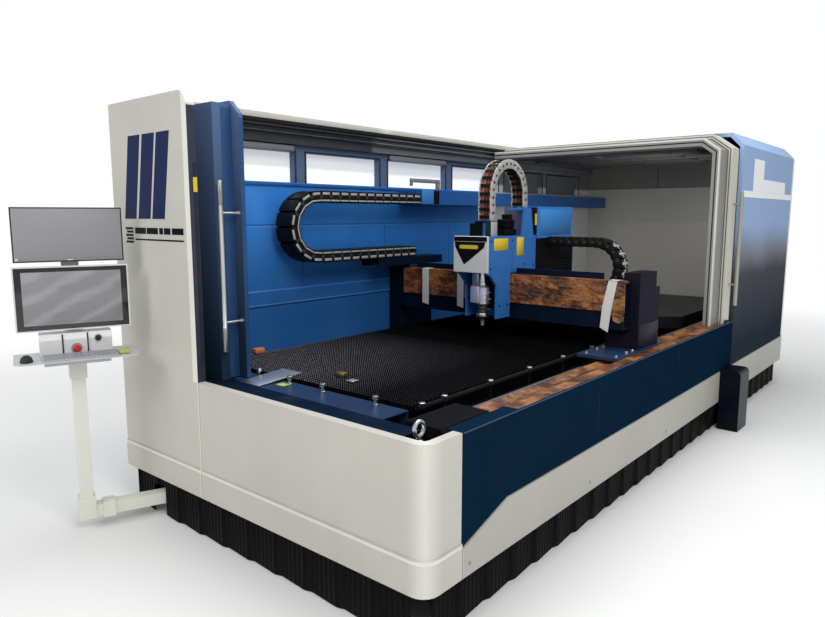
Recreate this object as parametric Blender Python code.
"""Gantry laser cutting machine for sheet metal, with a telescopic hood and an operator console.

Every shape is drawn in the machine's own corner frame: X runs along the length from the loading
end, Y runs from the operator's side to the back wall, Z is up from the floor. The model's origin is
the middle of the levelling pad nearest to that corner, on the floor.
"""
import math

import bmesh
import bpy
from mathutils import Matrix, Vector

# Clearances and sheet
GAP = 0.0003
SHEET = 0.004
SEAM = 0.004
RUNNING = 0.006

# Envelope of the cabinet
LENGTH = 5.65
DEPTH = 2.22
PANEL_BOTTOM = 0.22
WALL_TOP = 0.82
STEP_HEIGHT = 0.37
STEP_PROUD = 0.006
CORNER_RADIUS = 0.07

# Tall and low end panels
END_TOP = 2.24
END_SPLIT = 1.462
END_WALL = 0.045
END_TOP_RADIUS = 0.08
CORNER_RETURN = 0.22

# Long front panels
FRONT_WALL = 0.078
BLUE_BOTTOM = 0.46
BLUE_TIP = 0.35
BLUE_TIP_RUN = 0.325
KICK_END = 3.58
FAR_KICK_START = 3.90
FRONT_SEAM = 1.925

# Fixed housing at the far end
HOUSING_START = 3.87
HOUSING_WALL = 0.03
HOUSING_TOP = 2.281
HOUSING_SLOPE = 0.098
HOUSING_SHOULDER = HOUSING_TOP - HOUSING_SLOPE
HOUSING_CHAMFER = 0.093
END_WALL_FAR = 0.05

# Service cover on the floor
COVER_START = 3.60
COVER_LENGTH = 0.24
COVER_DEPTH = 0.15
COVER_HEIGHT = 0.47
COVER_BEVEL = 0.035

# Back wall with its windows
BACK_SET = 0.12
BACK_INNER = DEPTH - BACK_SET
BACK_WALL = 0.05
BACK_START = 0.30
BACK_TOP = HOUSING_TOP - 0.141
WINDOW_FIRST = 0.465
WINDOW_WIDTH = 0.725
WINDOW_PITCH = 0.827
WINDOW_COUNT = 6
WINDOW_HIGH = BACK_TOP - 0.075
WINDOW_LOW = WINDOW_HIGH - 0.20
PANE = 0.004
FOLD_HEIGHT = 1.58
LEDGE_HIGH = 1.167
LEDGE_LOW = 1.049
LEDGE_DEPTH = 0.02
GROOVE = 0.008
GROOVE_DEPTH = 0.004

# Telescopic hood
HOOD_Y = 0.012
HOOD_DROP = 0.031
HOOD_ROOF = HOUSING_TOP - HOOD_DROP
SHOULDER_DROP = 0.107
HOOD_SHOULDER = HOOD_ROOF - SHOULDER_DROP
HOOD_CHAMFER = 0.146
HOOD_FRAME = 0.055
HOOD_SKIN = 0.012
HOOD_SKIN_INSET = 0.024
HOOD_STEP = 0.040
INNER_SKIN_INSET = HOOD_STEP + 0.022
HOOD_FRAME_END = BACK_INNER - 0.10
HOOD_TONGUE = 0.055
HOOD_ROOF_END = HOOD_FRAME_END + HOOD_TONGUE
OUTER_HOOD_START = 3.62
INNER_HOOD_START = 3.45
FRAME_LENGTH = 0.165
HOOD_LENGTH = 1.90
HOOD_RAIL_LIP = 0.007
HOOD_RAIL_WEB = 0.04

# Hood and door pull bars
PULL_RADIUS = 0.014
PULL_LOW = 0.96
PULL_HIGH = 1.82
PULL_STAND_OFF = 0.055
PULL_POST_LOW = 1.12
PULL_POST_HIGH = 1.73
PULL_POST_RADIUS = 0.007
HOOD_PULL_X = 3.72

# Telescopic end door
DOOR_BOTTOM = 0.80
LEAF_A_X = 0.15
LEAF_A_DEPTH = 0.05
LEAF_A_FRONT = 1.477
LEAF_A_WIDTH = 0.72
LEAF_A_TOP = HOUSING_TOP - 0.081
LEAF_B_X = 0.26
LEAF_B_DEPTH = 0.025
LEAF_B_FRONT = 1.415
LEAF_B_WIDTH = 0.76
LEAF_B_TOP = LEAF_A_TOP + 0.018
LEAF_B_SHOULDER = LEAF_B_TOP - 0.07
GUIDE_BAR = 0.03
SILL_START = 0.19
SILL_HEIGHT = 0.06

# Bed and feet
BED_START = 0.06
BED_END = 5.45
BEAM_TOP = 0.70
BEAM_BOTTOM = 0.30
NEAR_BEAM_Y = 0.08
NEAR_BEAM_WIDTH = 0.36
FAR_BEAM_WIDTH = 0.1447
FAR_BEAM_Y = BACK_INNER - GAP - FAR_BEAM_WIDTH
LEG_POSITIONS = (0.35, 1.95, 3.55, 5.25)
PAN_LOW = 0.40
PAN_TOP = 0.50
LEG = 0.12
LEG_LOW = 0.05
FOOT_RADIUS = 0.06
FOOT_HEIGHT = 0.02
FOOT_STEM = 0.018
NEAR_FOOT_Y = 0.26
FAR_FOOT_Y = FAR_BEAM_Y + FAR_BEAM_WIDTH / 2

# Rails, guards and end stop
RAIL_Y = 0.30
FAR_RAIL_Y = BACK_INNER - 0.08
RAIL_WIDTH = 0.03
RAIL_HEIGHT = 0.045
RAIL_START = 0.62
RAIL_END = 5.40
GUARD_Y = 0.085
GUARD_WIDTH = 0.185
GUARD_START = 0.64
GUARD_END = 4.90
GUARD_HEIGHT = 0.085
STOP_START = 0.26
STOP_LENGTH = 0.35
STOP_Y = 0.11
STOP_WIDTH = 0.22
STOP_HEIGHT = 0.095
EYE_X = 0.115
EYE_Y = 0.13
EYE_RADIUS = 0.038
EYE_WIRE = 0.009
EYE_PAD_TOP = 0.775

# Table
RIM_START = 0.20
RIM_WIDTH = 0.22
RIM_TOP = 0.78
RIM_LOW = PAN_TOP + GAP
RIM_SHEET = 0.006
GRATE_START = 0.45
GRATE_END = 3.45
GRATE_TOP = 0.80
SLAT_COUNT = 31
SLAT = 0.004
SLAT_TEETH = 20
TOOTH_DEPTH = 0.018
COMB = 0.024
COMB_HEIGHT = 0.05
PIN_HEAD = 0.014
PIN_STEM = 0.007
RIM_PIN_ROWS = (0.62, 0.98, 1.23, 1.49)
BAR_Y = 0.385
BAR_RADIUS = 0.012
BAR_PIN_FIRST = 0.61
BAR_PIN_PITCH = 0.385
BAR_PIN_COUNT = 7
DECK_START = 3.86
DECK_END = 5.50
DECK_CORNER = 0.12
DECK_FOLD = GRATE_TOP - BEAM_TOP - GAP
DECK_SEAT = 0.012

# Curtain of rubber strips
CURTAIN_INSET = 0.035
CURTAIN_LIFT = 0.004
CURTAIN_SHEET = 0.004
CURTAIN_FOLD = 0.012
CURTAIN_PITCH = 0.20

# Gantry
BEAM_X = 2.118
BEAM_WIDTH = 0.112
BEAM_LOW = 0.95
BEAM_HIGH = 1.24
BEAM_START = 0.17
BEAM_TUBE = 0.012
COLUMN_LENGTH = 0.335
COLUMN_Y = 0.12
COLUMN_WIDTH = 0.105
COLUMN_TOP = 1.295
COLUMN_STEP = 0.065
COLUMN_SHOULDER = 1.19
COLUMN_FOOT_WIDTH = 0.215
COLUMN_FOOT_TOP = 1.03
PLATE_X = 1.90
PLATE_LENGTH = 0.70
PLATE_Y = 0.086
PLATE_WIDTH = 0.279
PLATE_LOW = 0.799
PLATE = 0.019
BLOCK_LENGTH = 0.12
BLOCK_SIDE = 0.015
FAR_LEG_Y = BACK_INNER - 0.115
FAR_LEG_WIDTH = 0.10
FAR_LEG_LENGTH = 0.40
FAR_LEG_TOP = 1.28
Y_RAIL_X = 2.17
Y_RAIL_HEIGHT = 0.05
Y_RAIL_START = 0.34
Y_RAIL_END = BACK_INNER - 0.25
SLEEVE = 0.012
SLEEVE_LOW = 1.06
SLEEVE_START = 0.165
SLEEVE_END = FAR_LEG_Y - 0.055
TROUGH_X = 1.75
TROUGH_LENGTH = 0.75
TROUGH_Y = BACK_INNER - 0.238
TROUGH_WIDTH = 0.17
TROUGH_HEIGHT = 0.055

# Carriage and cutting head
CARRIAGE_X = 1.80
CARRIAGE_LENGTH = 0.62
CARRIAGE_Y = 0.963
CARRIAGE_WIDTH = 0.257
CARRIAGE_LOW = 1.262
CARRIAGE_TOP = 1.51
CARRIAGE_PLATE = 0.017
LEG_FRONT = 1.93
LEG_BACK = 2.09
LEG_TIP = 0.965
FIN_X = 2.235
FIN_END = 2.385
FIN_TOP = 1.70
POCKET_X = 2.05
POCKET_TOP = 1.49
FACE_DEPTH = 0.02
HEAD_X = 1.95
HEAD_Y = 1.09
TIP_HEIGHT = 0.885
Z_PLATE = 0.02
DRIVE_LENGTH = 0.60
DRIVE_LOW = 1.16
DRIVE_TOP = 1.485
BOX_X = 2.47
BOX_LENGTH = 0.53
BOX_TOP = 1.71
MOTOR_X = 2.04
MOTOR_SIZE = 0.13
MOTOR_TOP = 1.74

# Energy chains
CHAIN_HEIGHT = 0.08
SLIDE_LOW = 1.02
SLIDE_TOP = 1.43
SLIDE_HALF = 0.07
CLAMP_LOW = 1.285
CLAMP_TOP = 1.35
CLAMP_HALF = 0.045
CLAMP_REACH = 0.055
CHAIN_STEP = 0.006
CHAIN_WALL = 0.012
BEND_STEPS = 8
BEND_LEAD = 0.002
CHAIN_X_PITCH = 0.085
CHAIN_SPACE = 0.23
CHAIN_X_Y = BACK_INNER - CHAIN_SPACE
CHAIN_X_WIDTH = 0.15
CHAIN_X_UPPER = 1.77
CHAIN_X_BEND = 1.185
CHAIN_X_END = 2.25
CHAIN_X_LOWER_END = 2.19
CHAIN_Y_PITCH = 0.06
CHAIN_Y_X = 2.605
CHAIN_Y_WIDTH = 0.10
CHAIN_Y_HEIGHT = 0.07
CHAIN_Y_UPPER = 1.46
CHAIN_Y_LOWER = 1.115
CHAIN_Y_BEND = 0.60
CHAIN_Y_LOWER_END = 1.20
CHAIN_Z_PITCH = 0.05
CHAIN_Z_HEIGHT = 0.06
CHAIN_Z_LEFT = 1.75
CHAIN_Z_RIGHT = 2.30
CHAIN_Z_Y = 1.0
CHAIN_Z_WIDTH = 0.10
CHAIN_Z_TOP = 2.02
CHAIN_Z_FOOT = 1.61
CHAIN_Z_BOX = 1.52
CHAIN_BEAM_Y = CHAIN_X_Y
CHAIN_BEAM_LOW = 1.73
CHAIN_BEAM_TOP = 1.84
CHAIN_BEAM_END = 5.55

# Operator console
POST_X = -0.33
POST_Y = 2.04
POST_SIZE = 0.065
POST_TOP = 0.90
SLEEVE_SIZE = 0.082
SLEEVE_HEIGHT = 0.075
ARM_HEIGHT = 0.10
ARM_YAW = -20.45
CONSOLE_YAW = -19.85
TRAY_WIDTH = 0.56
TRAY_FRONT = 0.20
TRAY_BACK = 0.07
TRAY_HEIGHT = 0.945
TRAY_CORNER = 0.04
CONSOLE_BOX_WIDTH = 0.33
CONSOLE_BOX_FRONT = 0.055
CONSOLE_BOX_TOP = 1.062
MAST_Y = 0.055
MAST_WIDTH = 0.08
MAST_TOP = 1.62
SCREEN_WIDTH = 0.52
SCREEN_HEIGHT = 0.32
SCREEN_LOW = 1.08
SCREEN_FRONT = 0.05
SCREEN_DEPTH = 0.045
HINGE_RADIUS = 0.0127
UPPER_WIDTH = 0.50
UPPER_LOW = 1.418
UPPER_HEIGHT = 0.27
UPPER_DEPTH = 0.035
STOP_BUTTON_Z = 0.985
STOP_BUTTON_RADIUS = 0.018
STOP_BUTTON_TRAVEL = 0.005
STOP_BUTTON_STEM = 0.008
KNOB_X = 0.10
KNOB_Z = 1.03
KNOB_RADIUS = 0.013

ORIGIN = Vector((LEG_POSITIONS[0], NEAR_FOOT_Y, 0.0))

PLANES = {"X": (1, 2, 0), "Y": (0, 2, 1), "Z": (0, 1, 2)}
MATERIALS = {
    "white_paint": ((0.72, 0.71, 0.66), 0.45, 0.0),
    "navy_paint": ((0.012, 0.045, 0.13), 0.28, 0.0),
    "blue_paint": ((0.02, 0.13, 0.36), 0.40, 0.0),
    "dark_steel": ((0.02, 0.022, 0.028), 0.55, 0.6),
    "black_plastic": ((0.015, 0.015, 0.017), 0.50, 0.0),
    "bright_steel": ((0.72, 0.72, 0.74), 0.22, 1.0),
    "aluminium": ((0.62, 0.63, 0.65), 0.35, 1.0),
    "frosted_sheet": ((0.86, 0.88, 0.90), 0.50, 0.0),
    "oiled_paper": ((0.28, 0.13, 0.04), 0.55, 0.0),
    "rubber": ((0.012, 0.012, 0.013), 0.75, 0.0),
    "red_plastic": ((0.65, 0.03, 0.03), 0.35, 0.0),
    "grey_paint": ((0.25, 0.25, 0.27), 0.45, 0.0),
    "grey_plastic": ((0.30, 0.31, 0.33), 0.50, 0.0),
    "pearl_plastic": ((0.75, 0.76, 0.78), 0.35, 0.0),
}

frames = {}
materials = {}


def clear_scene():
    """Remove the objects that Blender starts with."""
    for item in list(bpy.data.objects):
        bpy.data.objects.remove(item, do_unlink=True)


def make_materials():
    """Make one plain Principled material for each finish."""
    for name, (colour, roughness, metallic) in MATERIALS.items():
        finish = bpy.data.materials.new(name)
        finish.use_nodes = True
        shader = finish.node_tree.nodes["Principled BSDF"]
        shader.inputs["Base Color"].default_value = (*colour, 1.0)
        shader.inputs["Roughness"].default_value = roughness
        shader.inputs["Metallic"].default_value = metallic
        materials[name] = finish


def make_frame(name, place, parent=None, turn=0.0):
    """Add an empty at a place of the corner frame; moving pieces hang on it."""
    empty = bpy.data.objects.new(name, None)
    bpy.context.scene.collection.objects.link(empty)
    place = Vector(place)
    if parent is None:
        empty.location = place - ORIGIN
    else:
        empty.parent = frames[parent]["empty"]
        empty.location = place - frames[parent]["place"]
    empty.rotation_euler.z = math.radians(turn)
    frames[name] = {"empty": empty, "place": place, "turned": turn != 0.0}
    return empty


def add_node(name, shape, finish, frame="machine", smooth=None):
    """Turn a bmesh into a named object on its frame."""
    mesh = bpy.data.meshes.new(name)
    bmesh.ops.recalc_face_normals(shape, faces=shape.faces)
    shape.to_mesh(mesh)
    shape.free()
    mesh.materials.append(materials[finish])
    if smooth is not None:
        mesh.shade_smooth()
        mesh.set_sharp_from_angle(angle=math.radians(smooth))
    node = bpy.data.objects.new(name, mesh)
    bpy.context.scene.collection.objects.link(node)
    node.parent = frames[frame]["empty"]
    if not frames[frame]["turned"]:
        node.location = -frames[frame]["place"]
    return node


def combine(node, shape, operation):
    """Join a shape to a node, or cut it out, with a live Boolean."""
    mesh = bpy.data.meshes.new(node.name + "_tool")
    bmesh.ops.recalc_face_normals(shape, faces=shape.faces)
    shape.to_mesh(mesh)
    shape.free()
    tool = bpy.data.objects.new(node.name + "_tool", mesh)
    bpy.context.scene.collection.objects.link(tool)
    tool.parent = node.parent
    tool.location = node.location
    tool.hide_render = True
    tool.display_type = "WIRE"
    boolean = node.modifiers.new(operation.lower(), "BOOLEAN")
    boolean.operation = operation
    boolean.solver = "EXACT"
    boolean.object = tool


def join(node, shape):
    """Weld a shape to a node."""
    combine(node, shape, "UNION")


def cut(node, shape):
    """Cut a shape out of a node."""
    combine(node, shape, "DIFFERENCE")


def merged(shapes):
    """Gather shapes that don't touch each other into one bmesh."""
    whole = bmesh.new()
    for shape in shapes:
        mesh = bpy.data.meshes.new("gathered")
        shape.to_mesh(mesh)
        shape.free()
        whole.from_mesh(mesh)
        bpy.data.meshes.remove(mesh)
    return whole


def prism(outline, axis, low, high):
    """Extrude a closed outline along an axis from low to high."""
    first, second, along = PLANES[axis]
    shape = bmesh.new()
    corners = []
    for point in outline:
        place = [0.0, 0.0, 0.0]
        place[first], place[second], place[along] = point[0], point[1], low
        corners.append(shape.verts.new(place))
    face = shape.faces.new(corners)
    grown = bmesh.ops.extrude_face_region(shape, geom=[face])
    raised = [item for item in grown["geom"] if isinstance(item, bmesh.types.BMVert)]
    step = [0.0, 0.0, 0.0]
    step[along] = high - low
    bmesh.ops.translate(shape, vec=step, verts=raised)
    bmesh.ops.recalc_face_normals(shape, faces=shape.faces)
    return shape


def block(low, high):
    """A box between two corners."""
    shape = bmesh.new()
    middle = [(a + b) / 2 for a, b in zip(low, high)]
    sizes = [b - a for a, b in zip(low, high)]
    bmesh.ops.create_cube(shape, size=1.0,
                          matrix=Matrix.Translation(middle) @ Matrix.Diagonal((*sizes, 1.0)))
    return shape


def offset_path(points, distance, closed=False):
    """Move each side of a path to its left by a distance, with mitred corners."""
    count = len(points)
    moved = []
    for index in range(count):
        here = Vector(points[index])
        before = Vector(points[index - 1]) if closed or index > 0 else None
        after = Vector(points[(index + 1) % count]) if closed or index < count - 1 else None
        normals = []
        for start, end in ((before, here), (here, after)):
            if start is not None and end is not None:
                run = (end - start).normalized()
                normals.append(Vector((-run.y, run.x)))
        bisector = (normals[0] + normals[-1]).normalized()
        reach = distance / max(bisector.dot(normals[0]), 0.2)
        moved.append(tuple(here + bisector * reach))
    return moved


def folded(points, thickness):
    """The closed outline of a sheet that follows a path and is thick to its left."""
    return list(points) + offset_path(points, thickness)[::-1]


def tray(outline, axis, outer, depth, skin):
    """A sheet pan: an outline with folded rims that is open on its inner side."""
    shape = prism(outline, axis, min(outer, outer + depth), max(outer, outer + depth))
    along = PLANES[axis][2]
    inner = outer + depth
    caps = [face for face in shape.faces
            if abs(face.calc_center_median()[along] - inner) < 1e-6 and abs(face.normal[along]) > 0.9]
    bmesh.ops.inset_region(shape, faces=caps, thickness=skin, depth=0.0, use_even_offset=True)
    bmesh.ops.inset_region(shape, faces=caps, thickness=0.0, depth=-(abs(depth) - skin))
    return shape


def arc(centre, radius, start, end, steps):
    """Points along an arc, in degrees, with both ends."""
    points = []
    for index in range(steps + 1):
        angle = math.radians(start + (end - start) * index / steps)
        points.append((centre[0] + radius * math.cos(angle), centre[1] + radius * math.sin(angle)))
    return points


def turned(profile, centre, axis="Z", steps=16):
    """Spin a profile of (radius, height) pairs, closed at both ends, about an axis."""
    shape = bmesh.new()
    previous = None
    edges = []
    for radius, height in profile:
        vertex = shape.verts.new((radius, 0.0, height))
        if previous is not None:
            edges.append(shape.edges.new((previous, vertex)))
        previous = vertex
    bmesh.ops.spin(shape, geom=edges + list(shape.verts), axis=(0, 0, 1), cent=(0, 0, 0),
                   steps=steps, angle=math.tau, use_merge=True)
    bmesh.ops.remove_doubles(shape, verts=shape.verts, dist=1e-6)
    bmesh.ops.dissolve_degenerate(shape, edges=shape.edges, dist=1e-7)
    turns = {"Z": Matrix.Identity(4), "X": Matrix.Rotation(math.pi / 2, 4, "Y"),
             "Y": Matrix.Rotation(-math.pi / 2, 4, "X")}
    bmesh.ops.transform(shape, matrix=Matrix.Translation(centre) @ turns[axis], verts=shape.verts)
    bmesh.ops.recalc_face_normals(shape, faces=shape.faces)
    return shape


def rod(radius, start, end, axis, steps=12):
    """A round bar along an axis; start and end are whole points."""
    along = "XYZ".index(axis)
    length = end[along] - start[along]
    return turned([(0.0, 0.0), (radius, 0.0), (radius, length), (0.0, length)], start, axis, steps)


def leg_row(row, top):
    """Legs and levelling feet under one beam, as two gathered shapes."""
    legs = []
    feet = []
    for place in LEG_POSITIONS:
        legs.append(block((place - LEG / 2, row - LEG / 2, LEG_LOW),
                          (place + LEG / 2, row + LEG / 2, top + SHEET)))
        profile = [(0.0, 0.0), (FOOT_RADIUS, 0.0), (FOOT_RADIUS, FOOT_HEIGHT * 0.6),
                   (FOOT_STEM, FOOT_HEIGHT),
                   (FOOT_STEM, LEG_LOW + SHEET), (0.0, LEG_LOW + SHEET)]
        feet.append(turned(profile, (place, row, 0.0), steps=12))
    return merged(legs), merged(feet)


def make_bed():
    """Bed: two rail beams on levelling feet with a slag pan between them."""
    inner = NEAR_BEAM_Y + NEAR_BEAM_WIDTH
    bed = add_node("bed_frame", block((BED_START, NEAR_BEAM_Y, BEAM_BOTTOM), (BED_END, inner, BEAM_TOP)),
                   "dark_steel")
    for shape in leg_row(NEAR_FOOT_Y, BEAM_BOTTOM):
        join(bed, shape)
    join(bed, block((BED_START + SHEET, NEAR_BEAM_Y + SHEET, BEAM_TOP - SHEET),
                    (EYE_X + EYE_RADIUS + SHEET, EYE_Y + EYE_RADIUS, EYE_PAD_TOP)))

    far = add_node("bed_far_beam", block((RIM_START + SHEET, FAR_BEAM_Y, BEAM_BOTTOM),
                                         (BED_END, FAR_BEAM_Y + FAR_BEAM_WIDTH, BEAM_TOP)), "dark_steel")
    for shape in leg_row(FAR_FOOT_Y, BEAM_BOTTOM):
        join(far, shape)
    face = LEG_POSITIONS[0] - LEG / 2
    join(far, block((face, arm_line(face) - POST_SIZE, LEG_LOW + SHEET / 2),
                    (face + LEG - SHEET / 2, FAR_FOOT_Y, ARM_HEIGHT + POST_SIZE + SHEET)))

    add_node("bed_pan", block((RIM_START + SHEET, inner + GAP, PAN_LOW),
                              (BED_END - SHEET, FAR_BEAM_Y - GAP, PAN_TOP)),
             "dark_steel")


def make_end_panels():
    """Tall and low end panels with the joggled lower band and the rounded near corner."""
    radius = END_TOP_RADIUS
    outline = [(END_SPLIT, PANEL_BOTTOM), (DEPTH, PANEL_BOTTOM), (DEPTH, END_TOP)]
    outline += arc((END_SPLIT + radius, END_TOP - radius), radius, 90, 180, 5)
    tall = add_node("end_panel_tall", tray(outline, "X", 0.0, END_WALL, SHEET), "white_paint")
    join(tall, block((-STEP_PROUD, END_SPLIT, PANEL_BOTTOM), (SHEET / 2, DEPTH, STEP_HEIGHT)))

    path = [(0.0, END_SPLIT - SEAM)]
    path += arc((CORNER_RADIUS, CORNER_RADIUS), CORNER_RADIUS, 180, 270, 5)
    path += [(CORNER_RETURN, 0.0)]
    low = add_node("end_panel_low", prism(folded(path, END_WALL), "Z", PANEL_BOTTOM, WALL_TOP),
                   "white_paint")
    hollow = offset_path(path, SHEET)
    hollow[0] = (hollow[0][0], path[0][1] - SHEET)
    hollow[-1] = (path[-1][0] - SHEET, hollow[-1][1])
    cavity = hollow + offset_path(hollow, END_WALL)[::-1]
    cut(low, prism(cavity, "Z", PANEL_BOTTOM - SHEET, WALL_TOP - SHEET))
    proud = offset_path(path, -STEP_PROUD)
    band = proud + offset_path(path, SHEET / 2)[::-1]
    join(low, prism(band, "Z", PANEL_BOTTOM, STEP_HEIGHT))


def make_front_panels():
    """Long blue side panel, white kick panels and the service cover on the floor."""
    start = CORNER_RETURN + SEAM
    end = HOUSING_START - SEAM
    outline = [(start, BLUE_TIP), (start + BLUE_TIP_RUN, BLUE_BOTTOM - SEAM), (end, BLUE_BOTTOM),
               (end, WALL_TOP), (start, WALL_TOP)]
    panel = add_node("front_panel", tray(outline, "Y", 0.0, FRONT_WALL, SHEET), "navy_paint")
    cut(panel, block((FRONT_SEAM, -SHEET, PANEL_BOTTOM),
                     (FRONT_SEAM + SEAM / 2, SHEET / 2, WALL_TOP + SHEET)))
    outline = [(start, PANEL_BOTTOM), (KICK_END, PANEL_BOTTOM), (KICK_END, BLUE_BOTTOM - SEAM),
               (start + BLUE_TIP_RUN, BLUE_BOTTOM - 2 * SEAM), (start, BLUE_TIP - SEAM)]
    add_node("front_kick_panel", tray(outline, "Y", -STEP_PROUD, FRONT_WALL, SHEET), "white_paint")
    bevel = COVER_BEVEL
    high = COVER_HEIGHT
    front = -COVER_DEPTH
    outline = [(front, 0.0), (-GAP, 0.0), (-GAP, high)]
    outline += arc((front + bevel, high - bevel), bevel, 90, 180, 3)
    add_node("service_cover", prism(outline, "X", COVER_START, COVER_START + COVER_LENGTH), "navy_paint")


def make_housing():
    """Fixed far housing: a folded shell over the parked hood and a white end wall."""
    outer = [(0.0, BLUE_BOTTOM), (0.0, HOUSING_SHOULDER), (HOUSING_CHAMFER, HOUSING_TOP),
             (DEPTH - HOUSING_WALL, HOUSING_TOP), (DEPTH - HOUSING_WALL, BLUE_BOTTOM)]
    inner = offset_path(outer, -HOUSING_WALL)[::-1]
    ledge = [(HOUSING_WALL, WALL_TOP), (FRONT_WALL, WALL_TOP), (FRONT_WALL, BLUE_BOTTOM)]
    outline = outer + inner[:-1] + ledge
    end = LENGTH - END_WALL_FAR - SEAM
    add_node("housing_shell", prism(outline, "X", HOUSING_START, end), "navy_paint")

    outline = [(0.0, PANEL_BOTTOM), (0.0, HOUSING_SHOULDER), (HOUSING_CHAMFER, HOUSING_TOP),
               (DEPTH, HOUSING_TOP), (DEPTH, PANEL_BOTTOM)]
    wall = add_node("housing_end_wall", prism(outline, "X", LENGTH - END_WALL_FAR, LENGTH), "white_paint")
    corner = SHEET * 10
    outline = [(FAR_KICK_START, PANEL_BOTTOM), (LENGTH - END_WALL_FAR / 2, PANEL_BOTTOM),
               (LENGTH - END_WALL_FAR / 2, BLUE_BOTTOM - SEAM),
               (FAR_KICK_START + corner, BLUE_BOTTOM - SEAM),
               (FAR_KICK_START, BLUE_BOTTOM - SEAM - corner)]
    join(wall, prism(outline, "Y", -STEP_PROUD, FRONT_WALL / 2))


def window_starts():
    """X of the near edge of each window."""
    return [WINDOW_FIRST + index * WINDOW_PITCH for index in range(WINDOW_COUNT)]


def make_back_wall():
    """Back wall of folded panels with a row of translucent windows and the hood rail on top."""
    end = LENGTH - END_WALL_FAR - SEAM
    wall = add_node("back_wall",
                    block((BACK_START, BACK_INNER, PANEL_BOTTOM), (end, BACK_INNER + BACK_WALL, BACK_TOP)),
                    "blue_paint")
    openings = []
    seams = []
    for start in window_starts():
        openings.append(block((start, BACK_INNER - SHEET, WINDOW_LOW),
                              (start + WINDOW_WIDTH, BACK_INNER + BACK_WALL + SHEET, WINDOW_HIGH)))
        seam = start + WINDOW_WIDTH + (WINDOW_PITCH - WINDOW_WIDTH) / 2
        seams.append(block((seam, BACK_INNER - SHEET, LEDGE_HIGH + GROOVE),
                           (seam + GROOVE, BACK_INNER + GROOVE_DEPTH, FOLD_HEIGHT - GROOVE)))
    cut(wall, merged(openings))
    cut(wall, merged(seams))
    cut(wall, block((BACK_START - SHEET, BACK_INNER - SHEET, FOLD_HEIGHT),
                    (end + SHEET, BACK_INNER + GROOVE_DEPTH, FOLD_HEIGHT + GROOVE)))
    outline = [(BACK_INNER + SHEET, LEDGE_LOW), (BACK_INNER - LEDGE_DEPTH / 2, LEDGE_LOW + LEDGE_DEPTH / 2),
               (BACK_INNER - LEDGE_DEPTH / 2, LEDGE_HIGH - LEDGE_DEPTH / 2),
               (BACK_INNER + SHEET, LEDGE_HIGH)]
    join(wall, prism(outline, "X", BACK_START, end))

    first = window_starts()[0] - 3 * SHEET
    last = window_starts()[-1] + WINDOW_WIDTH + 3 * SHEET
    outside = BACK_INNER + BACK_WALL + GAP
    add_node("back_windows",
             block((first, outside, WINDOW_LOW - 4 * SHEET),
                   (last, outside + PANE, WINDOW_HIGH + 4 * SHEET)),
             "frosted_sheet")

    lip_y = HOOD_FRAME_END + 3 * SHEET
    back = BACK_INNER - GAP
    web = back - HOOD_RAIL_WEB
    top = HOOD_ROOF - HOOD_SKIN_INSET + RUNNING
    outline = [(back, BACK_TOP - 0.03), (back, top), (web, top)]
    for inset in (HOOD_SKIN_INSET, INNER_SKIN_INSET):
        lip = HOOD_ROOF - inset - HOOD_SKIN - GAP
        outline += [(web, lip), (lip_y, lip), (lip_y, lip - HOOD_RAIL_LIP), (web, lip - HOOD_RAIL_LIP)]
    outline += [(web, BACK_TOP - 0.03)]
    rail = add_node("hood_rail", prism(outline, "X", BACK_START, end), "aluminium")
    join(rail, block((BACK_START, HOOD_FRAME_END + SHEET, top - SHEET / 2),
                     (HOUSING_START - 2 * SEAM, BACK_INNER + BACK_WALL, HOUSING_TOP)))


def hood_path(inset, roof_end, low):
    """Cross-section line of the hood, from the front wall over the chamfer to the back."""
    path = [(HOOD_Y, low), (HOOD_Y, HOOD_SHOULDER), (HOOD_Y + HOOD_CHAMFER, HOOD_ROOF),
            (roof_end, HOOD_ROOF)]
    moved = offset_path(path, -inset) if inset else path
    return moved


def hood_band(inset, thickness, roof_end, low):
    """Closed outline between two insets of the hood line."""
    return hood_path(inset, roof_end, low) + hood_path(inset + thickness, roof_end, low)[::-1]


def make_hoods():
    """Two nested hood stages with stepped leading frames, and the pull bar."""
    low = WALL_TOP + GAP
    for name, start, frame_inset, skin_inset in (
            ("outer_hood", OUTER_HOOD_START, 0.0, HOOD_SKIN_INSET),
            ("inner_hood", INNER_HOOD_START, HOOD_STEP, INNER_SKIN_INSET)):
        frame = prism(hood_band(frame_inset, HOOD_FRAME, HOOD_FRAME_END, low), "X", start,
                      start + FRAME_LENGTH)
        hood = add_node(name, frame, "white_paint", name + "_slide")
        skin = hood_band(skin_inset, HOOD_SKIN, HOOD_ROOF_END, low)
        join(hood, prism(skin, "X", start + FRAME_LENGTH / 2, start + HOOD_LENGTH))
    bar_y = HOOD_Y - PULL_STAND_OFF
    bar = add_node("hood_pull",
                   rod(PULL_RADIUS, (HOOD_PULL_X, bar_y, PULL_LOW), (HOOD_PULL_X, bar_y, PULL_HIGH), "Z"),
                   "bright_steel", "outer_hood_slide", smooth=40)
    posts = [rod(PULL_POST_RADIUS, (HOOD_PULL_X, bar_y, height), (HOOD_PULL_X, HOOD_Y - GAP, height), "Y", 8)
             for height in (PULL_POST_LOW, PULL_POST_HIGH)]
    join(bar, merged(posts))


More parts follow.
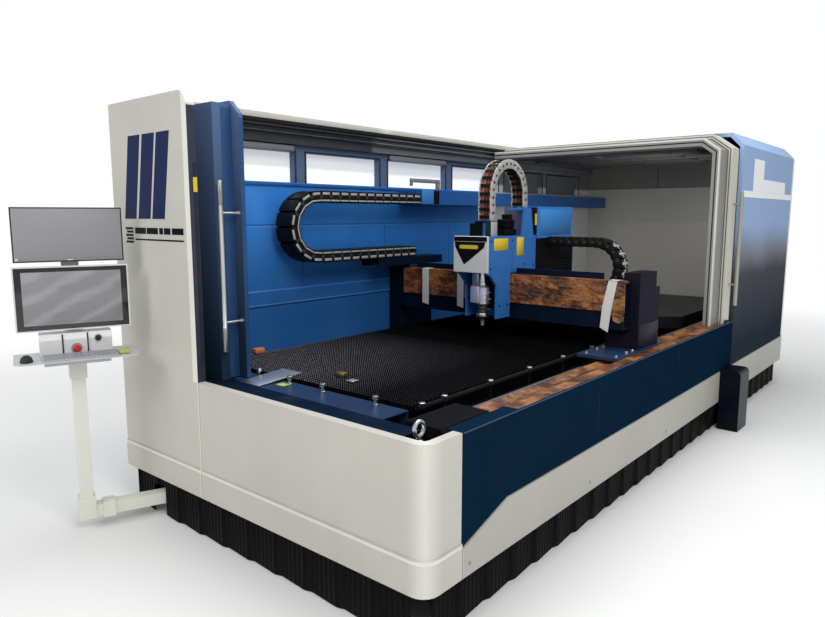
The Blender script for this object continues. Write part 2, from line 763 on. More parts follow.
def make_end_door():
    """Two-leaf sliding end door with its sill and pull bar."""
    outline = [(LEAF_A_FRONT, DOOR_BOTTOM), (LEAF_A_FRONT + LEAF_A_WIDTH, DOOR_BOTTOM),
               (LEAF_A_FRONT + LEAF_A_WIDTH, LEAF_A_TOP), (LEAF_A_FRONT, LEAF_A_TOP)]
    leaf = add_node("door_leaf_rear", tray(outline, "X", LEAF_A_X, LEAF_A_DEPTH, SHEET), "navy_paint",
                    "rear_leaf_slide")
    bars = []
    for height in (DOOR_BOTTOM, LEAF_A_TOP - GUIDE_BAR):
        bars.append(block((LEAF_A_X + LEAF_A_DEPTH / 2, LEAF_A_FRONT + 3 * SHEET, height),
                          (LEAF_B_X - GAP, LEAF_A_FRONT + LEAF_A_WIDTH - 3 * SHEET, height + GUIDE_BAR)))
    join(leaf, merged(bars))

    back = LEAF_B_FRONT + LEAF_B_WIDTH
    outline = [(LEAF_B_FRONT, DOOR_BOTTOM), (back, DOOR_BOTTOM), (back, LEAF_B_TOP),
               (LEAF_B_FRONT + HOOD_CHAMFER / 2, LEAF_B_TOP), (LEAF_B_FRONT, LEAF_B_SHOULDER)]
    add_node("door_leaf_front", prism(outline, "X", LEAF_B_X, LEAF_B_X + LEAF_B_DEPTH), "navy_paint",
             "front_leaf_slide")
    bar_x = LEAF_B_X - 2 * PULL_STAND_OFF
    bar_y = LEAF_B_FRONT + PULL_RADIUS + SHEET
    pull = add_node("door_pull", rod(PULL_RADIUS, (bar_x, bar_y, PULL_LOW), (bar_x, bar_y, PULL_HIGH), "Z"),
                    "bright_steel", "front_leaf_slide", smooth=40)
    posts = [rod(PULL_POST_RADIUS, (bar_x, bar_y, height), (LEAF_B_X - GAP, bar_y, height), "X", 8)
             for height in (PULL_POST_LOW, PULL_POST_HIGH)]
    join(pull, merged(posts))

    low = DOOR_BOTTOM - GAP - SILL_HEIGHT
    path = [(END_WALL + GAP, low), (END_WALL + GAP, DOOR_BOTTOM - GAP), (RIM_START - GAP, DOOR_BOTTOM - GAP),
            (RIM_START - GAP, low)]
    add_node("door_sill", prism(folded(path, -SHEET), "Y", SILL_START, DEPTH - 8 * SHEET), "dark_steel")


def make_rails():
    """Linear rails on both bed beams, the paper-wrapped guard, the end stop and the lifting eye."""
    for name, row in (("near_rail", RAIL_Y), ("far_rail", FAR_RAIL_Y)):
        waist = RAIL_WIDTH * 0.15
        low = BEAM_TOP + GAP
        high = low + RAIL_HEIGHT
        outline = [(row, low), (row + RAIL_WIDTH, low), (row + RAIL_WIDTH, low + RAIL_HEIGHT * 0.25),
                   (row + RAIL_WIDTH - waist, low + RAIL_HEIGHT * 0.45),
                   (row + RAIL_WIDTH - waist, low + RAIL_HEIGHT * 0.6),
                   (row + RAIL_WIDTH, low + RAIL_HEIGHT * 0.8), (row + RAIL_WIDTH, high), (row, high),
                   (row, low + RAIL_HEIGHT * 0.8), (row + waist, low + RAIL_HEIGHT * 0.6),
                   (row + waist, low + RAIL_HEIGHT * 0.45), (row, low + RAIL_HEIGHT * 0.25)]
        add_node(name, prism(outline, "X", RAIL_START, RAIL_END), "bright_steel")
    low = BEAM_TOP + GAP
    crest = GUARD_HEIGHT
    outline = [(GUARD_Y, low), (GUARD_Y + GUARD_WIDTH, low), (GUARD_Y + GUARD_WIDTH, low + crest * 0.55),
               (GUARD_Y + GUARD_WIDTH * 0.80, low + crest),
               (GUARD_Y + GUARD_WIDTH * 0.55, low + crest * 0.86),
               (GUARD_Y + GUARD_WIDTH * 0.30, low + crest * 0.98), (GUARD_Y, low + crest * 0.62)]
    add_node("rail_guard", prism(outline, "X", GUARD_START, GUARD_END), "oiled_paper")
    slope = STOP_HEIGHT / 3
    outline = [(STOP_Y, low), (STOP_Y + STOP_WIDTH - RUNNING, low),
               (STOP_Y + STOP_WIDTH - RUNNING, low + STOP_HEIGHT),
               (STOP_Y + slope, low + STOP_HEIGHT), (STOP_Y, low + STOP_HEIGHT - slope)]
    add_node("rail_end_stop", prism(outline, "X", STOP_START, STOP_START + STOP_LENGTH), "black_plastic")

    base = EYE_PAD_TOP + GAP
    profile = [(0.0, 0.0), (EYE_RADIUS * 0.5, 0.0), (EYE_RADIUS * 0.5, 0.012), (EYE_RADIUS * 0.25, 0.018),
               (EYE_RADIUS * 0.25, 0.03), (0.0, 0.03)]
    eye = add_node("lifting_eye", turned(profile, (EYE_X, EYE_Y, base), steps=12), "bright_steel", smooth=40)
    ring = bmesh.new()
    circle = bmesh.ops.create_circle(ring, segments=8, radius=EYE_WIRE,
                                     matrix=Matrix.Translation((EYE_RADIUS - EYE_WIRE, 0,
                                                                0)) @ Matrix.Rotation(math.pi / 2, 4, "X"))
    edges = list({edge for vertex in circle["verts"] for edge in vertex.link_edges})
    bmesh.ops.spin(ring, geom=edges + circle["verts"], axis=(0, 0, 1), cent=(0, 0, 0), steps=20,
                   angle=math.tau, use_merge=True)
    bmesh.ops.remove_doubles(ring, verts=ring.verts, dist=1e-6)
    lift = Matrix.Translation((EYE_X, EYE_Y, base + 0.022 + EYE_RADIUS)) @ Matrix.Rotation(math.pi / 2, 4,
                                                                                           "X")
    bmesh.ops.transform(ring, matrix=lift, verts=ring.verts)
    join(eye, ring)


def pin(place, low, top):
    """A chrome pin with a mushroom head."""
    head = PIN_HEAD
    profile = [(0.0, 0.0), (PIN_STEM, 0.0), (PIN_STEM, top - low - head), (head, top - low - head * 0.8),
               (head, top - low - head * 0.2), (head * 0.7, top - low), (0.0, top - low)]
    return turned(profile, (place[0], place[1], low), steps=8)


def make_table():
    """Cutting table: near rim, toothed slat grate, side bar with pins and the far deck."""
    low = RIM_LOW
    path = [(RIM_START, low), (RIM_START, RIM_TOP), (RIM_START + RIM_WIDTH, RIM_TOP),
            (RIM_START + RIM_WIDTH, low)]
    start = NEAR_BEAM_Y + NEAR_BEAM_WIDTH - 5 * SHEET
    end = FAR_BEAM_Y - 2 * SHEET
    rim = add_node("table_rim", prism(folded(path, -RIM_SHEET), "Y", start + 6 * SHEET, end), "navy_paint")
    pin_x = RIM_START + RIM_WIDTH - 2 * PIN_HEAD
    pins = [pin((pin_x, row), RIM_TOP - RIM_SHEET / 2, RIM_TOP + 3 * PIN_HEAD) for row in RIM_PIN_ROWS]
    join(rim, merged(pins))

    near = NEAR_BEAM_Y + NEAR_BEAM_WIDTH - COMB - SHEET
    low = BEAM_TOP + GAP
    far = FAR_BEAM_Y + SHEET
    grate = add_node("cutting_grate",
                     block((GRATE_START, near, low), (GRATE_END, near + COMB, low + COMB_HEIGHT)),
    "dark_steel")
    join(grate, block((GRATE_START, far, low), (GRATE_END, far + COMB, low + COMB_HEIGHT)))
    first = near + COMB / 2
    last = far + COMB / 2
    tooth = (last - first) / SLAT_TEETH
    outline = [(first, low + SHEET), (last, low + SHEET)]
    for index in range(SLAT_TEETH, 0, -1):
        outline.append((first + tooth * index, GRATE_TOP - TOOTH_DEPTH))
        outline.append((first + tooth * (index - 0.5), GRATE_TOP))
    outline.append((first, GRATE_TOP - TOOTH_DEPTH))
    pitch = (GRATE_END - GRATE_START - SLAT - 2 * SHEET) / (SLAT_COUNT - 1)
    slats = []
    for index in range(SLAT_COUNT):
        place = GRATE_START + SHEET + index * pitch
        slats.append(prism(outline, "X", place, place + SLAT))
    join(grate, merged(slats))

    bar_z = GRATE_TOP
    length = BAR_PIN_PITCH * (BAR_PIN_COUNT + 0.5)
    bar = add_node("side_bar", rod(BAR_RADIUS, (BAR_PIN_FIRST - BAR_PIN_PITCH / 2, BAR_Y, bar_z),
                                   (BAR_PIN_FIRST - BAR_PIN_PITCH / 2 + length, BAR_Y, bar_z), "X"),
                                   "dark_steel", smooth=40)
    pins = [pin((BAR_PIN_FIRST + BAR_PIN_PITCH * index, BAR_Y), BEAM_TOP + GAP,
                bar_z + BAR_RADIUS + PIN_HEAD * 0.75)
            for index in range(BAR_PIN_COUNT)]
    join(bar, merged(pins))

    near, far = NEAR_BEAM_Y + NEAR_BEAM_WIDTH - DECK_SEAT, FAR_BEAM_Y + DECK_SEAT
    outline = [(DECK_START + DECK_CORNER * 0.8, near), (DECK_END, near), (DECK_END, far), (DECK_START, far),
               (DECK_START, near + DECK_CORNER)]
    add_node("rear_deck", tray(outline, "Z", GRATE_TOP, -DECK_FOLD, SHEET), "grey_paint")


def curtain_path(start, end):
    """A zigzag line of lapped strips between two values."""
    count = max(2, round((end - start) / CURTAIN_PITCH))
    step = (end - start) / count
    points = []
    for index in range(count):
        points.append((start + step * index, 0.0))
        points.append((start + step * (index + 0.82), CURTAIN_FOLD))
    points.append((end, 0.0))
    return points


def make_curtains():
    """Rubber strip curtains that close the space under the panels on all four sides."""
    low, top = CURTAIN_LIFT, PANEL_BOTTOM - GAP
    inset = CURTAIN_INSET
    long_run = curtain_path(inset + 4 * CURTAIN_FOLD, LENGTH - inset - 4 * CURTAIN_FOLD)
    short_run = curtain_path(inset + 4 * CURTAIN_FOLD, DEPTH - inset - 4 * CURTAIN_FOLD)

    front = [(x, inset + y) for x, y in long_run]
    strips = {"curtain_front": front}
    strips["curtain_back"] = [(x, DEPTH - inset - CURTAIN_FOLD - BACK_WALL + y) for x, y in long_run]
    strips["curtain_near"] = [(SHEET * 2 + y, x) for x, y in short_run][::-1]
    strips["curtain_far"] = [(LENGTH - END_WALL_FAR + CURTAIN_FOLD + y, x) for x, y in short_run][::-1]
    for name, path in strips.items():
        node = add_node(name, prism(folded(path, CURTAIN_SHEET), "Z", low, top), "rubber")
        if name == "curtain_near":
            centre = arm_line(SHEET * 4)
            slot = POST_SIZE * 0.8
            cut(node, block((-SHEET, centre - slot, -SHEET),
                            (END_WALL, centre + slot, ARM_HEIGHT + POST_SIZE)))


def arm_line(x):
    """Y of the console arm's centre line at a given X."""
    slope = math.tan(math.radians(ARM_YAW))
    return POST_Y + slope * (x - POST_X)


def chain_run(points, width_low, width_high, axis, height, pitch):
    """Sweep a row of links along a path: a channel whose side walls step in and out link by link."""
    lengths = [0.0]
    for before, after in zip(points, points[1:]):
        lengths.append(lengths[-1] + (Vector(after) - Vector(before)).length)
    total = lengths[-1]
    rings = max(2, round(total / (pitch / 2)))
    shape = bmesh.new()
    previous = None
    first, second, along = PLANES[axis]
    for index in range(rings + 1):
        here = total * index / rings
        slot = max(0, min(len(points) - 2,
                          next(i for i in range(1, len(lengths)) if lengths[i] >= here - 1e-9) - 1))
        share = (here - lengths[slot]) / (lengths[slot + 1] - lengths[slot])
        start, end = Vector(points[slot]), Vector(points[slot + 1])
        centre = start.lerp(end, share)
        back = Vector(points[max(0, slot - 1)]) if share < 0.5 and slot > 0 else start
        ahead = Vector(points[min(len(points) - 1,
                                  slot + 2)]) if share >= 0.5 and slot + 2 < len(points) else end
        run = (ahead - back).normalized()
        side = Vector((-run.y, run.x))
        step = CHAIN_STEP if index % 2 else 0.0
        low, high = width_low + step, width_high - step
        half = height / 2
        section = [(-half, low), (half, low), (half, low + CHAIN_WALL),
                   (-half + CHAIN_WALL, low + CHAIN_WALL),
                   (-half + CHAIN_WALL, high - CHAIN_WALL), (half, high - CHAIN_WALL), (half, high),
                   (-half, high)]
        ring = []
        for across, depth in section:
            flat = centre + side * across
            place = [0.0, 0.0, 0.0]
            place[first], place[second], place[along] = flat.x, flat.y, depth
            ring.append(shape.verts.new(place))
        if previous is None:
            shape.faces.new(ring)
        else:
            for corner in range(len(ring)):
                after = (corner + 1) % len(ring)
                shape.faces.new((previous[corner], previous[after], ring[after], ring[corner]))
        previous = ring
    shape.faces.new(previous)
    return shape


def upper_bend(across, middle, radius):
    """Quarter turn from the top of a chain's bend to its middle, where it ends square."""
    small = radius - BEND_LEAD
    return arc((across, middle + BEND_LEAD), small, 90, 180, BEND_STEPS) + [(across - small, middle)]


def lower_bend(across, middle, radius):
    """Quarter turn from just below the middle of a chain's bend to its bottom."""
    small = radius - BEND_LEAD
    return [(across - small, middle - GAP)] + arc((across, middle - BEND_LEAD), small, 180, 270, BEND_STEPS)


def make_chains():
    """Three energy chains; the long-travel ones are split at the bend into their two runs."""
    bottom = FAR_LEG_TOP + TROUGH_HEIGHT + CHAIN_HEIGHT / 2 + 2 * GAP
    radius = (CHAIN_X_UPPER - bottom) / 2
    middle = (CHAIN_X_UPPER + bottom) / 2
    low, high = CHAIN_X_Y, CHAIN_X_Y + CHAIN_X_WIDTH
    upper = [(CHAIN_X_END - GAP, CHAIN_X_UPPER)] + upper_bend(CHAIN_X_BEND, middle, radius)
    lower = lower_bend(CHAIN_X_BEND, middle, radius) + [(CHAIN_X_LOWER_END, bottom)]
    add_node("chain_x_upper", chain_run(upper, low, high, "Y", CHAIN_HEIGHT, CHAIN_X_PITCH), "black_plastic")
    add_node("chain_x_lower", chain_run(lower, low, high, "Y", CHAIN_HEIGHT, CHAIN_X_PITCH), "black_plastic",
             "gantry_slide")

    radius = (CHAIN_Y_UPPER - CHAIN_Y_LOWER) / 2
    middle = (CHAIN_Y_UPPER + CHAIN_Y_LOWER) / 2
    low, high = CHAIN_Y_X, CHAIN_Y_X + CHAIN_Y_WIDTH
    start = CARRIAGE_Y + CARRIAGE_PLATE - GAP
    upper = [(start, CHAIN_Y_UPPER)] + upper_bend(CHAIN_Y_BEND, middle, radius)
    lower = lower_bend(CHAIN_Y_BEND, middle, radius) + [(CHAIN_Y_LOWER_END, CHAIN_Y_LOWER)]
    add_node("chain_y_upper", chain_run(upper, low, high, "X", CHAIN_Y_HEIGHT, CHAIN_Y_PITCH),
             "black_plastic", "carriage_slide")
    add_node("chain_y_lower", chain_run(lower, low, high, "X", CHAIN_Y_HEIGHT, CHAIN_Y_PITCH),
             "black_plastic", "gantry_slide")

    radius = (CHAIN_Z_RIGHT - CHAIN_Z_LEFT) / 2
    centre = ((CHAIN_Z_RIGHT + CHAIN_Z_LEFT) / 2, CHAIN_Z_TOP - CHAIN_Z_HEIGHT / 2 - radius)
    path = [(CHAIN_Z_RIGHT, FIN_TOP + GAP)] + arc(centre, radius, 0, 180,
                                                  2 * BEND_STEPS) + [(CHAIN_Z_LEFT, CHAIN_Z_FOOT + GAP)]
    add_node("chain_z", chain_run(path, CHAIN_Z_Y, CHAIN_Z_Y + CHAIN_Z_WIDTH, "Y", CHAIN_Z_HEIGHT,
                                  CHAIN_Z_PITCH),
             "black_plastic", "carriage_slide")

    path = [(CHAIN_BEAM_Y, CHAIN_BEAM_TOP), (CHAIN_BEAM_Y, CHAIN_BEAM_LOW),
            (BACK_INNER - GAP, CHAIN_BEAM_LOW),
            (BACK_INNER - GAP, CHAIN_BEAM_TOP)]
    beam = add_node("chain_beam", prism(folded(path, SHEET), "X", CHAIN_X_END, CHAIN_BEAM_END), "blue_paint")
    join(beam, block((CHAIN_X_END, CHAIN_BEAM_Y, CHAIN_BEAM_LOW),
                     (CHAIN_X_END + SHEET, BACK_INNER - GAP, CHAIN_BEAM_TOP)))


def make_gantry():
    """Moving gantry: box beam on a far leg, near column on its base plate, sleeve and chain trough."""
    start = BEAM_START
    end = FAR_LEG_Y + FAR_LEG_WIDTH
    wall = BEAM_TUBE
    tube = prism([(BEAM_X, BEAM_LOW), (BEAM_X + BEAM_WIDTH, BEAM_LOW), (BEAM_X + BEAM_WIDTH, BEAM_HIGH),
                  (BEAM_X, BEAM_HIGH)],
                 "Y", start, end)
    beam = add_node("gantry_beam", tube, "dark_steel", "gantry_slide")
    cut(beam, block((BEAM_X + wall, start - wall, BEAM_LOW + wall),
                    (BEAM_X + BEAM_WIDTH - wall, FAR_LEG_Y - wall, BEAM_HIGH - wall)))
    low = BEAM_TOP + GAP * 2
    back = BEAM_X + FAR_LEG_LENGTH
    waist = BEAM_X + BEAM_WIDTH + wall
    outline = [(BEAM_X, low), (back, low), (back, BEAM_LOW), (waist, BEAM_HIGH), (waist, FAR_LEG_TOP),
               (BEAM_X, FAR_LEG_TOP)]
    join(beam, prism(outline, "Y", FAR_LEG_Y, end))
    cut(beam, block((BEAM_X - wall, FAR_RAIL_Y - GAP, low - wall),
                    (back + wall, FAR_RAIL_Y + RAIL_WIDTH + GAP, BEAM_TOP + RAIL_HEIGHT + 2 * GAP)))
    join(beam, block((Y_RAIL_X, Y_RAIL_START, BEAM_HIGH - wall / 2),
                     (Y_RAIL_X + RAIL_WIDTH, Y_RAIL_END, BEAM_HIGH + Y_RAIL_HEIGHT)))
    tray_low = CHAIN_Y_LOWER - CHAIN_Y_HEIGHT / 2 - SHEET - GAP
    join(beam, block((BEAM_X + BEAM_WIDTH - wall / 2, Y_RAIL_START, tray_low),
                     (CHAIN_Y_X + CHAIN_Y_WIDTH + SHEET, Y_RAIL_END, tray_low + SHEET)))

    front = BEAM_X - GAP
    path = [(front, SLEEVE_LOW), (front, BEAM_HIGH + GAP), (Y_RAIL_X - SHEET, BEAM_HIGH + GAP)]
    outline = folded(path, SLEEVE)
    add_node("beam_guard", prism(outline, "Y", SLEEVE_START, SLEEVE_END), "oiled_paper", "gantry_slide")

    left = BEAM_X + BEAM_WIDTH + GAP
    right = left + COLUMN_LENGTH
    base = PLATE_LOW + PLATE + GAP
    outline = [(left, base), (right, base), (right, COLUMN_SHOULDER), (right - COLUMN_STEP, COLUMN_SHOULDER),
               (right - COLUMN_STEP, COLUMN_TOP), (left, COLUMN_TOP)]
    column = add_node("near_column", prism(outline, "Y", COLUMN_Y, COLUMN_Y + COLUMN_WIDTH), "black_plastic",
                      "gantry_slide")
    join(column, block((left, COLUMN_Y + COLUMN_WIDTH / 2, base),
                       (right, COLUMN_Y + COLUMN_FOOT_WIDTH, COLUMN_FOOT_TOP)))

    plate = add_node("near_base",
                     block((PLATE_X, PLATE_Y, PLATE_LOW),
                           (PLATE_X + PLATE_LENGTH, PLATE_Y + PLATE_WIDTH, PLATE_LOW + PLATE)),
                     "navy_paint", "gantry_slide")
    blocks = []
    for place in (PLATE_X + BLOCK_LENGTH, PLATE_X + PLATE_LENGTH - 2 * BLOCK_LENGTH):
        blocks.append(block((place, RAIL_Y - BLOCK_SIDE, BEAM_TOP + RAIL_HEIGHT / 3),
                            (place + BLOCK_LENGTH, RAIL_Y + RAIL_WIDTH + BLOCK_SIDE, PLATE_LOW + PLATE / 2)))
    join(plate, merged(blocks))
    cut(plate, block((PLATE_X, RAIL_Y - GAP, BEAM_TOP),
                     (PLATE_X + PLATE_LENGTH, RAIL_Y + RAIL_WIDTH + GAP, BEAM_TOP + RAIL_HEIGHT + 2 * GAP)))

    base = FAR_LEG_TOP - SHEET / 2
    top = FAR_LEG_TOP + GAP + TROUGH_HEIGHT
    path = [(TROUGH_Y, base), (TROUGH_Y, top), (TROUGH_Y + TROUGH_WIDTH, top),
            (TROUGH_Y + TROUGH_WIDTH, base)]
    join(beam, prism(folded(path, -SHEET), "X", TROUGH_X, TROUGH_X + TROUGH_LENGTH))


def make_carriage():
    """Cross carriage: side plates with the long leg, front cover, drive, motor and cable box."""
    left, right = CARRIAGE_X + FACE_DEPTH, CARRIAGE_X + CARRIAGE_LENGTH
    low, top = CARRIAGE_LOW, CARRIAGE_TOP
    near, far = CARRIAGE_Y, CARRIAGE_Y + CARRIAGE_WIDTH
    fin = FIN_END - FIN_X
    outline = [(left, low), (LEG_FRONT - 0.08, low), (LEG_FRONT, low - 0.08), (LEG_FRONT, LEG_TIP),
               (LEG_BACK, LEG_TIP),
               (LEG_BACK, low), (right, low), (right, top), (FIN_END, top), (FIN_END - fin * 0.25, FIN_TOP),
               (FIN_X + fin * 0.2, FIN_TOP), (FIN_X, top), (left, top)]
    body = add_node("carriage_body", prism(outline, "Y", near, far), "blue_paint", "carriage_slide")
    plate = CARRIAGE_PLATE
    cut(body, block((left - SHEET, near + plate, LEG_TIP - SHEET), (POCKET_X, far - plate, POCKET_TOP)))
    cut(body, block((FIN_X - SHEET, near + plate, top), (FIN_END + SHEET, far + SHEET, FIN_TOP - plate)))
    cut(body, block((FIN_X - SHEET, CHAIN_Z_Y + CHAIN_Z_WIDTH, top),
                    (FIN_END + SHEET, far + SHEET, FIN_TOP + SHEET)))
    cut(body, block((Y_RAIL_X - GAP, near - SHEET, low - SHEET),
                    (Y_RAIL_X + RAIL_WIDTH + GAP, far + SHEET, BEAM_HIGH + Y_RAIL_HEIGHT + GAP)))
    cut(body, block((CHAIN_Z_LEFT + 0.07, HEAD_Y - 0.055, POCKET_TOP - SHEET),
                    (CHAIN_Z_LEFT + 0.13, HEAD_Y + 0.045, top + SHEET)))

    outline = [(CARRIAGE_X, low + 0.015), (left - GAP, low + 0.015), (left - GAP, top + SHEET),
               (CARRIAGE_X + FACE_DEPTH / 2, top + SHEET),
               (CARRIAGE_X, top - SHEET)]
    add_node("carriage_cover", prism(outline, "Y", near - SHEET, far + SHEET), "white_paint",
             "carriage_slide")

    start = right + GAP
    add_node("y_drive", block((start, near + plate, DRIVE_LOW),
                              (start + DRIVE_LENGTH, far - plate, DRIVE_TOP)),
             "black_plastic", "carriage_slide")
    drive_base = DRIVE_TOP + GAP
    box = block((BOX_X, near + plate, drive_base), (BOX_X + BOX_LENGTH, far - plate, BOX_TOP))
    add_node("cable_box", box, "blue_paint", "carriage_slide")
    size = MOTOR_SIZE
    base = top + GAP
    motor = block((MOTOR_X, HEAD_Y - size / 2, base),
                  (MOTOR_X + size, HEAD_Y + size / 2, base + size * 0.55))
    node = add_node("z_motor", motor, "dark_steel", "carriage_slide")
    join(node, block((MOTOR_X + size * 0.15, HEAD_Y - size * 0.35, base + size * 0.5),
                     (MOTOR_X + size * 0.85, HEAD_Y + size * 0.35, MOTOR_TOP)))


def make_head():
    """Cutting head on its vertical slide."""
    back = POCKET_X - GAP
    front = back - Z_PLATE
    slide = add_node("z_slide",
                     block((front, HEAD_Y - SLIDE_HALF, SLIDE_LOW), (back, HEAD_Y + SLIDE_HALF, SLIDE_TOP)),
    "aluminium", "head_slide")
    join(slide, block((HEAD_X - CLAMP_REACH, HEAD_Y - CLAMP_HALF, CLAMP_LOW),
                      (front + SHEET, HEAD_Y + CLAMP_HALF, CLAMP_TOP)))
    post = CHAIN_Z_LEFT + 0.085
    join(slide, block((post, HEAD_Y - 0.04, SLIDE_TOP - 0.025),
                      (front + SHEET, HEAD_Y + 0.03, SLIDE_TOP - 0.005)))
    join(slide, block((post, HEAD_Y - 0.04, SLIDE_TOP - 0.02),
                      (post + 0.03, HEAD_Y + 0.03, CHAIN_Z_FOOT - 0.005)))
    join(slide, block((CHAIN_Z_LEFT - CHAIN_Z_HEIGHT / 2, CHAIN_Z_Y, CHAIN_Z_FOOT - 0.012),
                      (post + 0.03, CHAIN_Z_Y + CHAIN_Z_WIDTH, CHAIN_Z_FOOT)))
    join(slide, block((CHAIN_Z_LEFT - CHAIN_Z_HEIGHT / 2 - SHEET, CHAIN_Z_Y - SHEET, CHAIN_Z_BOX),
                      (CARRIAGE_X - SHEET, CHAIN_Z_Y + CHAIN_Z_WIDTH + SHEET, CHAIN_Z_FOOT - SHEET / 2)))
    tip = TIP_HEIGHT
    profile = [(0.0, 0.05), (0.017, 0.05), (0.017, 0.065), (0.034, 0.075), (0.043, 0.085), (0.043, 0.11),
               (0.036, 0.115),
               (0.036, 0.165), (0.046, 0.17), (0.046, 0.285), (0.031, 0.29), (0.031, 0.325), (0.028, 0.33),
               (0.028, CLAMP_LOW - GAP - tip), (0.0, CLAMP_LOW - GAP - tip)]
    add_node("cutting_head", turned(profile, (HEAD_X, HEAD_Y, tip), steps=16), "bright_steel", "head_slide",
             smooth=35)
    profile = [(0.0, 0.0), (0.004, 0.0), (0.011, 0.018), (0.015, 0.024), (0.015, 0.05 - GAP),
               (0.0, 0.05 - GAP)]
    add_node("nozzle", turned(profile, (HEAD_X, HEAD_Y, tip), steps=12), "bright_steel", "head_slide",
             smooth=35)


def make_console_stand():
    """Floor arm and post that carry the operator console."""
    half = POST_SIZE / 2
    turn = math.radians(ARM_YAW)
    run = Vector((math.cos(turn), math.sin(turn)))
    side = Vector((-run.y, run.x)) * half
    post = Vector((POST_X, POST_Y))
    leg_face = LEG_POSITIONS[0] - LEG / 2 - GAP
    left, right = post + side, post - side
    far_left = left + run * ((leg_face - left.x) / run.x)
    far_right = right + run * ((leg_face - right.x) / run.x)
    outline = [tuple(left - run * half), tuple(right - run * half), tuple(far_right), tuple(far_left)]
    stand = add_node("console_stand", prism(outline, "Z", ARM_HEIGHT - half, ARM_HEIGHT + half),
                     "white_paint")

    def square(size, low, high):
        side_run = run * size / 2
        side_out = Vector((-run.y, run.x)) * size / 2
        corners = [post - side_run + side_out, post - side_run - side_out, post + side_run - side_out,
                   post + side_run + side_out]
        return prism([tuple(corner) for corner in corners], "Z", low, high)

    join(stand, square(POST_SIZE * 0.98, ARM_HEIGHT - half * 0.9, POST_TOP - SHEET))
    join(stand, square(SLEEVE_SIZE, POST_TOP - SLEEVE_HEIGHT, POST_TOP))
    join(stand, square(SLEEVE_SIZE, ARM_HEIGHT - half - SHEET, ARM_HEIGHT + half + 0.05))
    across = Vector((-run.y, run.x)) * SLEEVE_SIZE / 2
    near_end, far_end = post + run * 0.075, post + run * 0.135
    collar = [tuple(near_end + across), tuple(near_end - across), tuple(far_end - across),
              tuple(far_end + across)]
    join(stand, prism(collar, "Z", ARM_HEIGHT - SLEEVE_SIZE / 2, ARM_HEIGHT + SLEEVE_SIZE / 2))


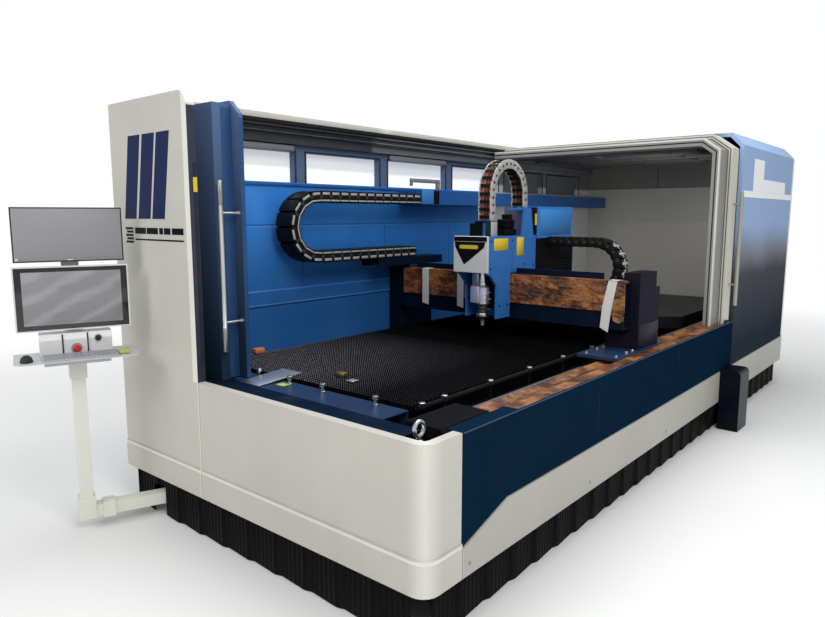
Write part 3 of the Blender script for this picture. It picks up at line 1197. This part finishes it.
def make_console():
    """Swivelling head of the console, drawn about the post's axis: X across, Y away, Z up."""
    frame = "console_swivel"
    pivot = turned([(0.0, 0.0), (0.03, 0.0), (0.03, 0.02), (0.0, 0.02)], (0, 0, POST_TOP + GAP), steps=16)
    tray_node = add_node("console_tray", pivot, "pearl_plastic", frame)
    shelf = TRAY_HEIGHT
    join(tray_node, block((-0.15, -TRAY_FRONT * 0.6, POST_TOP + 0.015),
                          (0.15, TRAY_BACK * 0.8, shelf + 0.002)))
    half = TRAY_WIDTH / 2
    corner = TRAY_CORNER
    outline = [(half, TRAY_BACK + 0.02), (-half, TRAY_BACK + 0.02)]
    outline += arc((-half + corner, -TRAY_FRONT + corner), corner, 180, 270, 4)
    outline += arc((half - corner, -TRAY_FRONT + corner), corner, 270, 360, 4)
    join(tray_node, prism(outline, "Z", shelf, shelf + 0.006))
    join(tray_node, block((-MAST_WIDTH / 2, MAST_Y, shelf + 0.003),
                          (MAST_WIDTH / 2, MAST_Y + 0.03, MAST_TOP)))

    base = shelf + 0.006 + GAP
    front = CONSOLE_BOX_FRONT
    half = CONSOLE_BOX_WIDTH / 2
    outline = [(-front, base), (MAST_Y - GAP, base), (MAST_Y - GAP, CONSOLE_BOX_TOP),
               (-front + 0.012, CONSOLE_BOX_TOP),
               (-front, CONSOLE_BOX_TOP - 0.03)]
    box = add_node("control_box", prism(outline, "X", -half, half), "pearl_plastic", frame)
    seams = [block((x, -front - SHEET, base - SHEET), (x + SEAM, -front + SEAM, CONSOLE_BOX_TOP + SHEET))
             for x in (-half * 0.36, half * 0.36)]
    cut(box, merged(seams))
    stem = STOP_BUTTON_STEM
    cut(box, rod(stem + GAP, (0.0, -front - SHEET, STOP_BUTTON_Z), (0.0, -front + 0.03, STOP_BUTTON_Z), "Y",
                 12))

    gap = STOP_BUTTON_TRAVEL + 0.001
    cap = STOP_BUTTON_RADIUS
    profile = [(0.0, 0.0), (cap * 0.7, 0.0), (cap, 0.004), (cap, 0.012), (stem, 0.014),
               (stem, 0.014 + gap + 0.018), (0.0, 0.014 + gap + 0.018)]
    place = (0.0, -front - gap - 0.014, STOP_BUTTON_Z)
    add_node("emergency_stop", turned(profile, place, "Y", 12), "red_plastic", "stop_button", smooth=35)
    knob = turned([(0.0, 0.0), (KNOB_RADIUS * 0.8, 0.0), (KNOB_RADIUS, 0.003), (KNOB_RADIUS, 0.016),
                   (0.0, 0.016)],
                  (KNOB_X, -front - GAP - 0.016, KNOB_Z), "Y", 12)
    knob_node = add_node("selector_knob", knob, "black_plastic", "selector", smooth=35)
    join(knob_node, block((KNOB_X - 0.003, -front - GAP - 0.024, KNOB_Z - KNOB_RADIUS * 0.95),
                          (KNOB_X + 0.003, -front - GAP - 0.014, KNOB_Z + KNOB_RADIUS * 0.95)))

    keys = [(-0.195, base), (-0.08, base), (-0.08, base + 0.016), (-0.195, base + 0.008)]
    add_node("keyboard", prism(keys, "X", -0.16, 0.18), "aluminium", frame)
    mouse = bmesh.new()
    bmesh.ops.create_uvsphere(mouse, u_segments=10, v_segments=6, radius=1.0,
                              matrix=Matrix.Translation((-0.225, -0.13, base)) @ Matrix.Diagonal((0.03,
                          0.052, 0.032, 1.0)))
    bmesh.ops.bisect_plane(mouse, geom=list(mouse.verts) + list(mouse.edges) + list(mouse.faces),
                           plane_co=(0, 0, base), plane_no=(0, 0, -1), clear_outer=True)
    bmesh.ops.holes_fill(mouse, edges=[edge for edge in mouse.edges if edge.is_boundary], sides=0)
    add_node("mouse", mouse, "black_plastic", frame, smooth=50)

    half = SCREEN_WIDTH / 2
    middle = SCREEN_LOW + SCREEN_HEIGHT / 2
    screen = screen_body(-half, half, SCREEN_LOW, SCREEN_LOW + SCREEN_HEIGHT, -SCREEN_FRONT, SCREEN_DEPTH,
                         0.012)
    monitor = add_node("touch_monitor", screen, "pearl_plastic", "monitor_tilt")
    axis_y = MAST_Y - GAP - HINGE_RADIUS
    join(monitor, rod(HINGE_RADIUS, (-0.035, axis_y, middle), (0.035, axis_y, middle), "X", 16))
    join(monitor, block((-0.03, -SCREEN_FRONT + SCREEN_DEPTH - SHEET, middle - 0.012),
                        (0.03, axis_y, middle + 0.012)))

    half = UPPER_WIDTH / 2
    upper = screen_body(-half, half, UPPER_LOW, UPPER_LOW + UPPER_HEIGHT, 0.0, UPPER_DEPTH, 0.010)
    node = add_node("upper_monitor", upper, "grey_plastic", frame)
    middle = UPPER_LOW + UPPER_HEIGHT / 2
    join(node, block((-0.04, UPPER_DEPTH - SHEET, middle - 0.04), (0.04, MAST_Y - GAP, middle + 0.04)))


def screen_body(left, right, low, high, front, depth, rim):
    """A flat monitor: front glass recess, straight rim and a back that tapers to a smaller panel."""
    shape = prism([(left, low), (right, low), (right, high), (left, high)], "Y", front, front + depth * 0.45)
    backs = [face for face in shape.faces if face.normal.y > 0.9]
    bmesh.ops.inset_region(shape, faces=backs, thickness=depth, depth=depth * 0.55, use_even_offset=True)
    fronts = [face for face in shape.faces if face.normal.y < -0.9]
    bmesh.ops.inset_region(shape, faces=fronts, thickness=rim, depth=0.0, use_even_offset=True)
    bmesh.ops.inset_region(shape, faces=fronts, thickness=0.0, depth=-0.002)
    return shape


def make_frames():
    """Empties on the joint axes, from the bed outwards."""
    make_frame("machine", (0.0, 0.0, 0.0))
    make_frame("outer_hood_slide", (OUTER_HOOD_START, HOOD_Y, WALL_TOP), "machine")
    make_frame("inner_hood_slide", (INNER_HOOD_START, HOOD_Y, WALL_TOP), "outer_hood_slide")
    make_frame("rear_leaf_slide", (LEAF_A_X, LEAF_A_FRONT, DOOR_BOTTOM), "machine")
    make_frame("front_leaf_slide", (LEAF_B_X, LEAF_B_FRONT, DOOR_BOTTOM), "rear_leaf_slide")
    make_frame("gantry_slide", (BEAM_X, RAIL_Y, BEAM_TOP), "machine")
    make_frame("carriage_slide", (CARRIAGE_X, CARRIAGE_Y, BEAM_HIGH), "gantry_slide")
    make_frame("head_slide", (HEAD_X, HEAD_Y, TIP_HEIGHT), "carriage_slide")
    make_frame("console_swivel", (POST_X, POST_Y, 0.0), "machine", CONSOLE_YAW)
    swivel = frames["console_swivel"]["empty"]
    places = {"stop_button": (0.0, -CONSOLE_BOX_FRONT, STOP_BUTTON_Z),
              "selector": (KNOB_X, -CONSOLE_BOX_FRONT, KNOB_Z),
              "monitor_tilt": (0.0, MAST_Y - GAP - HINGE_RADIUS, SCREEN_LOW + SCREEN_HEIGHT / 2)}
    for name, place in places.items():
        empty = bpy.data.objects.new(name, None)
        bpy.context.scene.collection.objects.link(empty)
        empty.parent = swivel
        empty.location = place
        frames[name] = {"empty": empty, "place": Vector(place), "turned": False}


def main():
    """Build the whole machine."""
    clear_scene()
    make_materials()
    make_frames()
    make_bed()
    make_end_panels()
    make_front_panels()
    make_housing()
    make_back_wall()
    make_hoods()
    make_end_door()
    make_rails()
    make_table()
    make_curtains()
    make_chains()
    make_gantry()
    make_carriage()
    make_head()
    make_console_stand()
    make_console()


main()
